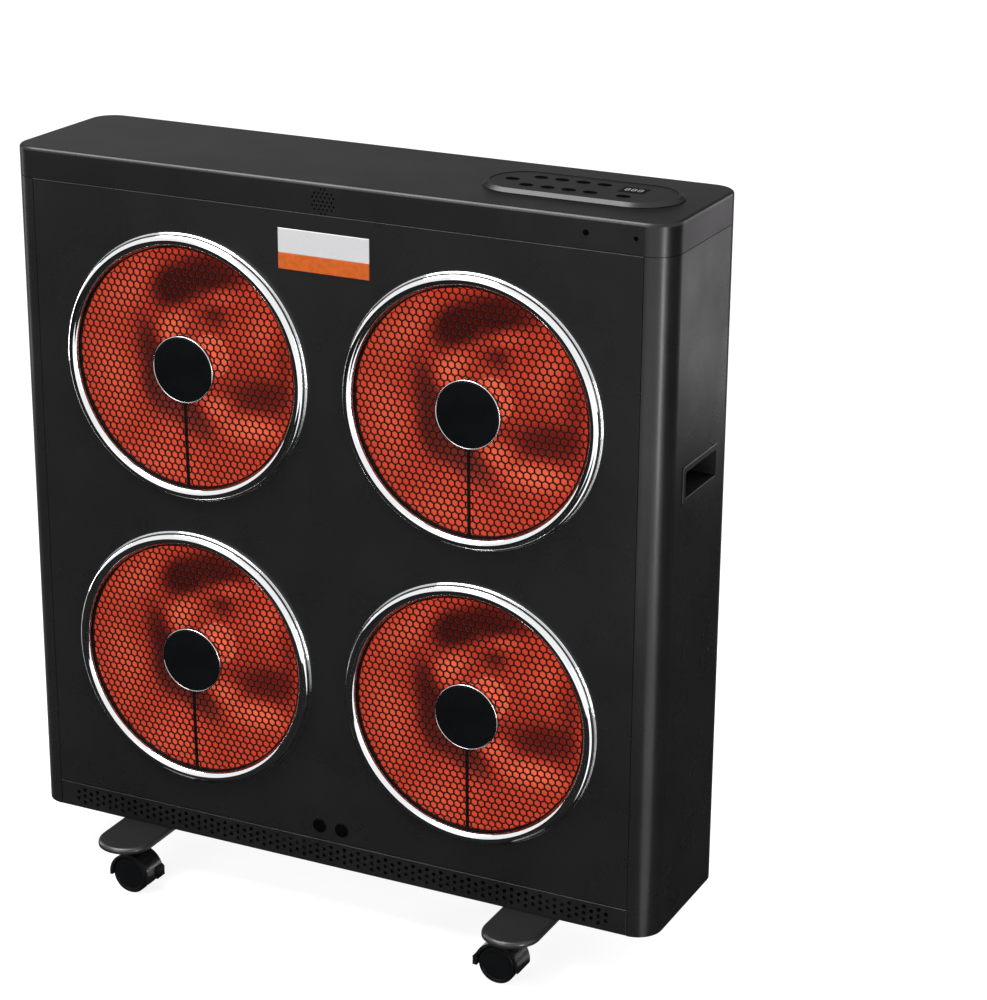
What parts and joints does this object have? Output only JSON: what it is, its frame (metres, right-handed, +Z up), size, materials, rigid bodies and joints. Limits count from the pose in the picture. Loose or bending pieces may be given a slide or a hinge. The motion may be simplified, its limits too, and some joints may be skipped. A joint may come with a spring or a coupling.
{
  "type": "infrared heater",
  "caption": "Tall box-shaped infrared heater with round guarded heating heads on the front, recessed side grips, a raised top control pad and a braked castor base.",
  "frame": {"origin": "on the floor, under the middle of the cabinet", "axes": "+X to the right seen from the front, +Y to the back, +Z up"},
  "size_m": [0.7024, 0.302, 0.764],
  "materials": {
    "cap_plastic": "fine satin moulding",
    "dark_coated_steel": "fine textured powder coat",
    "polished_chrome": "mirror polished",
    "black_coated_wire": "black stoved",
    "spun_reflector": "spun and polished",
    "gloss_black": "smooth, slightly glossy",
    "glowing_element": "winding on a ceramic core, glowing",
    "socket_ceramic": "unglazed",
    "black_plastic": "fine satin moulding",
    "faceplate": "satin, the same grey as the cap",
    "button_plastic": "satin black",
    "smoked_window": "smoked and glossy",
    "circuit_board": "solder resist",
    "dark_lens": "dark glossy lens",
    "badge_metal": "satin, with a lacquered lower band",
    "plain_steel": "plain",
    "castor_plastic": "glossy moulding",
    "castor_wheel_plastic": "smooth tread"
  },
  "bodies": {
    "cabinet": {"badge_plate": "badge_metal", "base_plate": "dark_coated_steel", "cable_gland": "black_plastic", "centre_caps": "gloss_black", "centre_rims": "polished_chrome", "control_board": "circuit_board", "control_plate": "faceplate", "display_window": "smoked_window", "element_sockets": "socket_ceramic", "foot_bar_left": "dark_coated_steel", "foot_bar_right": "dark_coated_steel", "front_panel": "dark_coated_steel", "guard_grille_lower_left": "black_coated_wire", "guard_grille_lower_right": "black_coated_wire", "guard_grille_upper_left": "black_coated_wire", "guard_grille_upper_right": "black_coated_wire", "handle_left": "black_plastic", "handle_right": "black_plastic", "heating_elements": "glowing_element", "intake_grille": "dark_coated_steel", "power_board": "circuit_board", "rear_panel": "dark_coated_steel", "reflector_lower_left": "spun_reflector", "reflector_lower_right": "spun_reflector", "reflector_upper_left": "spun_reflector", "reflector_upper_right": "spun_reflector", "screws": "plain_steel", "sensor_windows": "dark_lens", "side_panel_left": "dark_coated_steel", "side_panel_right": "dark_coated_steel", "speaker": "black_plastic", "tip_switch_housing": "black_plastic", "top_cap": "cap_plastic", "trim_ring_lower_left": "polished_chrome", "trim_ring_lower_right": "polished_chrome", "trim_ring_upper_left": "polished_chrome", "trim_ring_upper_right": "polished_chrome"},
    "castor_front_left": {"castor_housing_front_left": "castor_plastic"},
    "castor_wheel_pair_front_left": {"castor_wheels_front_left": "castor_wheel_plastic"},
    "castor_brake_front_left": {"brake_pedal_front_left": "castor_plastic"},
    "castor_front_right": {"castor_housing_front_right": "castor_plastic"},
    "castor_wheel_pair_front_right": {"castor_wheels_front_right": "castor_wheel_plastic"},
    "castor_brake_front_right": {"brake_pedal_front_right": "castor_plastic"},
    "castor_rear_left": {"castor_housing_rear_left": "castor_plastic"},
    "castor_wheel_pair_rear_left": {"castor_wheels_rear_left": "castor_wheel_plastic"},
    "castor_brake_rear_left": {"brake_pedal_rear_left": "castor_plastic"},
    "castor_rear_right": {"castor_housing_rear_right": "castor_plastic"},
    "castor_wheel_pair_rear_right": {"castor_wheels_rear_right": "castor_wheel_plastic"},
    "castor_brake_rear_right": {"brake_pedal_rear_right": "castor_plastic"},
    "button_01": {"button_01": "button_plastic"},
    "button_02": {"button_02": "button_plastic"},
    "button_03": {"button_03": "button_plastic"},
    "button_04": {"button_04": "button_plastic"},
    "button_05": {"button_05": "button_plastic"},
    "button_06": {"button_06": "button_plastic"},
    "button_07": {"button_07": "button_plastic"},
    "button_08": {"button_08": "button_plastic"},
    "button_09": {"button_09": "button_plastic"},
    "button_10": {"button_10": "button_plastic"},
    "tip_pendulum": {"tip_switch_pendulum": "plain_steel"}
  },
  "joints": [
    {"name": "castor_swivel_front_left", "type": "hinge", "parent": "cabinet", "child": "castor_front_left", "pos_m": [-0.2195, -0.1215, 0.0457], "axis": [0, 0, 1], "continuous": true},
    {"name": "castor_roll_front_left", "type": "hinge", "parent": "castor_front_left", "child": "castor_wheel_pair_front_left", "pos_m": [-0.2095, -0.1215, 0.0194], "axis": [0, 1, 0], "continuous": true},
    {"name": "castor_brake_front_left", "type": "hinge", "parent": "castor_front_left", "child": "castor_brake_front_left", "pos_m": [-0.1955, -0.1215, 0.0184], "axis": [0, 1, 0], "range_deg": [0, 8]},
    {"name": "castor_swivel_front_right", "type": "hinge", "parent": "cabinet", "child": "castor_front_right", "pos_m": [0.2195, -0.1215, 0.0457], "axis": [0, 0, 1], "continuous": true},
    {"name": "castor_roll_front_right", "type": "hinge", "parent": "castor_front_right", "child": "castor_wheel_pair_front_right", "pos_m": [0.2095, -0.1215, 0.0194], "axis": [0, 1, 0], "continuous": true},
    {"name": "castor_brake_front_right", "type": "hinge", "parent": "castor_front_right", "child": "castor_brake_front_right", "pos_m": [0.1955, -0.1215, 0.0184], "axis": [0, -1, 0], "range_deg": [0, 8]},
    {"name": "castor_swivel_rear_left", "type": "hinge", "parent": "cabinet", "child": "castor_rear_left", "pos_m": [-0.2195, 0.1215, 0.0457], "axis": [0, 0, 1], "continuous": true},
    {"name": "castor_roll_rear_left", "type": "hinge", "parent": "castor_rear_left", "child": "castor_wheel_pair_rear_left", "pos_m": [-0.2095, 0.1215, 0.0194], "axis": [0, 1, 0], "continuous": true},
    {"name": "castor_brake_rear_left", "type": "hinge", "parent": "castor_rear_left", "child": "castor_brake_rear_left", "pos_m": [-0.1955, 0.1215, 0.0184], "axis": [0, 1, 0], "range_deg": [0, 8]},
    {"name": "castor_swivel_rear_right", "type": "hinge", "parent": "cabinet", "child": "castor_rear_right", "pos_m": [0.2195, 0.1215, 0.0457], "axis": [0, 0, 1], "continuous": true},
    {"name": "castor_roll_rear_right", "type": "hinge", "parent": "castor_rear_right", "child": "castor_wheel_pair_rear_right", "pos_m": [0.2095, 0.1215, 0.0194], "axis": [0, 1, 0], "continuous": true},
    {"name": "castor_brake_rear_right", "type": "hinge", "parent": "castor_rear_right", "child": "castor_brake_rear_right", "pos_m": [0.1955, 0.1215, 0.0184], "axis": [0, -1, 0], "range_deg": [0, 8]},
    {"name": "button_01_press", "type": "slide", "parent": "cabinet", "child": "button_01", "axis": [0, 0, -1], "range_m": [0, 0.0008], "stiffness_N_per_m": 200},
    {"name": "button_02_press", "type": "slide", "parent": "cabinet", "child": "button_02", "axis": [0, 0, -1], "range_m": [0, 0.0008], "stiffness_N_per_m": 200},
    {"name": "button_03_press", "type": "slide", "parent": "cabinet", "child": "button_03", "axis": [0, 0, -1], "range_m": [0, 0.0008], "stiffness_N_per_m": 200},
    {"name": "button_04_press", "type": "slide", "parent": "cabinet", "child": "button_04", "axis": [0, 0, -1], "range_m": [0, 0.0008], "stiffness_N_per_m": 200},
    {"name": "button_05_press", "type": "slide", "parent": "cabinet", "child": "button_05", "axis": [0, 0, -1], "range_m": [0, 0.0008], "stiffness_N_per_m": 200},
    {"name": "button_06_press", "type": "slide", "parent": "cabinet", "child": "button_06", "axis": [0, 0, -1], "range_m": [0, 0.0008], "stiffness_N_per_m": 200},
    {"name": "button_07_press", "type": "slide", "parent": "cabinet", "child": "button_07", "axis": [0, 0, -1], "range_m": [0, 0.0008], "stiffness_N_per_m": 200},
    {"name": "button_08_press", "type": "slide", "parent": "cabinet", "child": "button_08", "axis": [0, 0, -1], "range_m": [0, 0.0008], "stiffness_N_per_m": 200},
    {"name": "button_09_press", "type": "slide", "parent": "cabinet", "child": "button_09", "axis": [0, 0, -1], "range_m": [0, 0.0008], "stiffness_N_per_m": 200},
    {"name": "button_10_press", "type": "slide", "parent": "cabinet", "child": "button_10", "axis": [0, 0, -1], "range_m": [0, 0.0008], "stiffness_N_per_m": 200},
    {"name": "tip_pendulum_swing", "type": "hinge", "parent": "cabinet", "child": "tip_pendulum", "pos_m": [-0.15, 0, 0.0955], "axis": [0, 1, 0], "range_deg": [-40, 40]}
  ]
}
